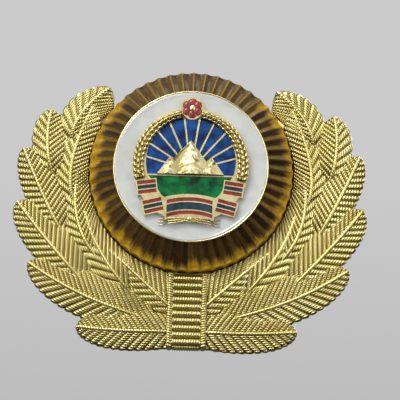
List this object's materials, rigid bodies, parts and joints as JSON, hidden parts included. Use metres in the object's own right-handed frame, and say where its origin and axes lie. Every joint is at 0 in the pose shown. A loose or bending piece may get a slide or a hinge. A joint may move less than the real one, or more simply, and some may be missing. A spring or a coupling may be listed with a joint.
{
  "type": "cap badge",
  "caption": "Gilt leaf-spray cap badge carrying a round cockade with an amber fluted ring, white enamel disc and raised emblem, clamped on by a rear screw post and round nut.",
  "frame": {"origin": "axis of the round cockade and its screw post, in the plane of the badge's back, which rests on the cap", "axes": "+Z towards the badge's top as worn, -Y out of its face, +Y into the cap along the screw post, +X to the viewer's right"},
  "size_m": [0.0584, 0.0179, 0.0463],
  "materials": {
    "gilt_stamping": "matt gilt, struck cord texture",
    "bright_gilt": "bright gilt",
    "amber": "clear amber plastic, glossy",
    "white_enamel": "glossy fired enamel",
    "blue_enamel": "glossy translucent enamel",
    "green_enamel": "glossy translucent enamel",
    "red_enamel": "glossy opaque enamel",
    "teal_enamel": "glossy opaque enamel",
    "plain_brass": "turned and pressed brass, lightly dulled",
    "solder_tinned": "soft-solder grey"
  },
  "bodies": {
    "badge": {"leaf_spray": "gilt_stamping", "amber_ring": "amber", "cockade_drum": "bright_gilt", "white_enamel": "white_enamel", "emblem_plate": "bright_gilt", "sky_enamel": "blue_enamel", "meadow_enamel": "green_enamel", "ribbon_red_enamel": "red_enamel", "ribbon_blue_enamel": "teal_enamel", "rosette_enamel": "red_enamel", "emblem_rivets": "plain_brass", "cockade_prongs": "plain_brass", "backing_plate": "plain_brass", "post_collar": "solder_tinned", "screw_post": "plain_brass", "locating_pins": "plain_brass"},
    "washer": {"clamp_washer": "plain_brass"},
    "nut": {"clamp_nut": "plain_brass"}
  },
  "joints": [
    {"name": "washer_travel", "type": "slide", "parent": "badge", "child": "washer", "axis": [0, 1, 0], "range_m": [-0.0015, 0.004]},
    {"name": "nut_spin", "type": "hinge", "parent": "washer", "child": "nut", "pos_m": [0, 0.0043, 0], "axis": [0, 1, 0], "range_deg": [-1081, 2881]}
  ],
  "couplings": [
    {"joint": "nut_spin", "follows": "washer_travel", "rad_per_m": 12566}
  ]
}
